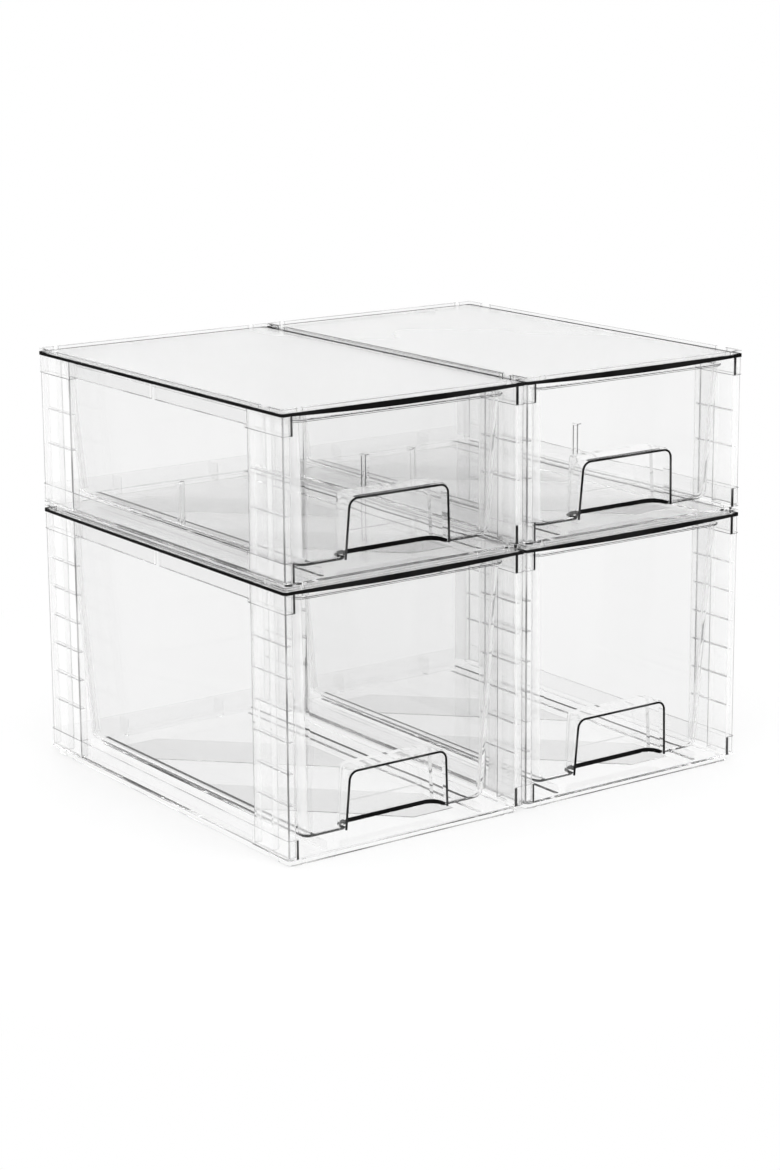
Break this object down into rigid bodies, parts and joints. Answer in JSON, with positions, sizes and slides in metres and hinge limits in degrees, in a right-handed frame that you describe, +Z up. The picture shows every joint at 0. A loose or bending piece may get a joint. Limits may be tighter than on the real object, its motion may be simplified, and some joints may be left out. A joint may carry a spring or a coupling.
{
  "type": "stackable drawer box set",
  "caption": "Stackable clear storage units: each an open case of panels and ladder posts round a tapered drawer with a finger recess, nested rim to foot.",
  "frame": {"origin": "middle of the set in plan, at floor level under the feet", "axes": "+Z up, drawers face and open towards -Y, +X to the viewer's right when looking at the fronts"},
  "size_m": [0.4406, 0.36, 0.342],
  "materials": {
    "clear_panel": "clear polished, moulded",
    "clear_post": "clear polished, moulded",
    "clear_drawer": "clear polished, moulded"
  },
  "bodies": {
    "base": {"lower_left_top_panel": "clear_panel", "lower_left_bottom_panel": "clear_panel", "lower_left_post_front_left": "clear_post", "lower_left_post_front_right": "clear_post", "lower_left_post_back_left": "clear_post", "lower_left_post_back_right": "clear_post", "lower_right_top_panel": "clear_panel", "lower_right_bottom_panel": "clear_panel", "lower_right_post_front_left": "clear_post", "lower_right_post_front_right": "clear_post", "lower_right_post_back_left": "clear_post", "lower_right_post_back_right": "clear_post"},
    "lower_left_drawer_body": {"lower_left_drawer": "clear_drawer"},
    "lower_right_drawer_body": {"lower_right_drawer": "clear_drawer"},
    "upper_left_case": {"upper_left_top_panel": "clear_panel", "upper_left_bottom_panel": "clear_panel", "upper_left_post_front_left": "clear_post", "upper_left_post_front_right": "clear_post", "upper_left_post_back_left": "clear_post", "upper_left_post_back_right": "clear_post"},
    "upper_right_case": {"upper_right_top_panel": "clear_panel", "upper_right_bottom_panel": "clear_panel", "upper_right_post_front_left": "clear_post", "upper_right_post_front_right": "clear_post", "upper_right_post_back_left": "clear_post", "upper_right_post_back_right": "clear_post"},
    "upper_left_drawer_body": {"upper_left_drawer": "clear_drawer"},
    "upper_right_drawer_body": {"upper_right_drawer": "clear_drawer"}
  },
  "joints": [
    {"name": "lower_left_drawer_slide", "type": "slide", "parent": "base", "child": "lower_left_drawer_body", "axis": [0, -1, 0], "range_m": [0, 0.25]},
    {"name": "lower_right_drawer_slide", "type": "slide", "parent": "base", "child": "lower_right_drawer_body", "axis": [0, -1, 0], "range_m": [0, 0.25]},
    {"name": "upper_left_case_lift", "type": "slide", "parent": "base", "child": "upper_left_case", "axis": [0, 0, 1], "range_m": [0, 0.06]},
    {"name": "upper_right_case_lift", "type": "slide", "parent": "base", "child": "upper_right_case", "axis": [0, 0, 1], "range_m": [0, 0.06]},
    {"name": "upper_left_drawer_slide", "type": "slide", "parent": "upper_left_case", "child": "upper_left_drawer_body", "axis": [0, -1, 0], "range_m": [0, 0.25]},
    {"name": "upper_right_drawer_slide", "type": "slide", "parent": "upper_right_case", "child": "upper_right_drawer_body", "axis": [0, -1, 0], "range_m": [0, 0.25]}
  ]
}
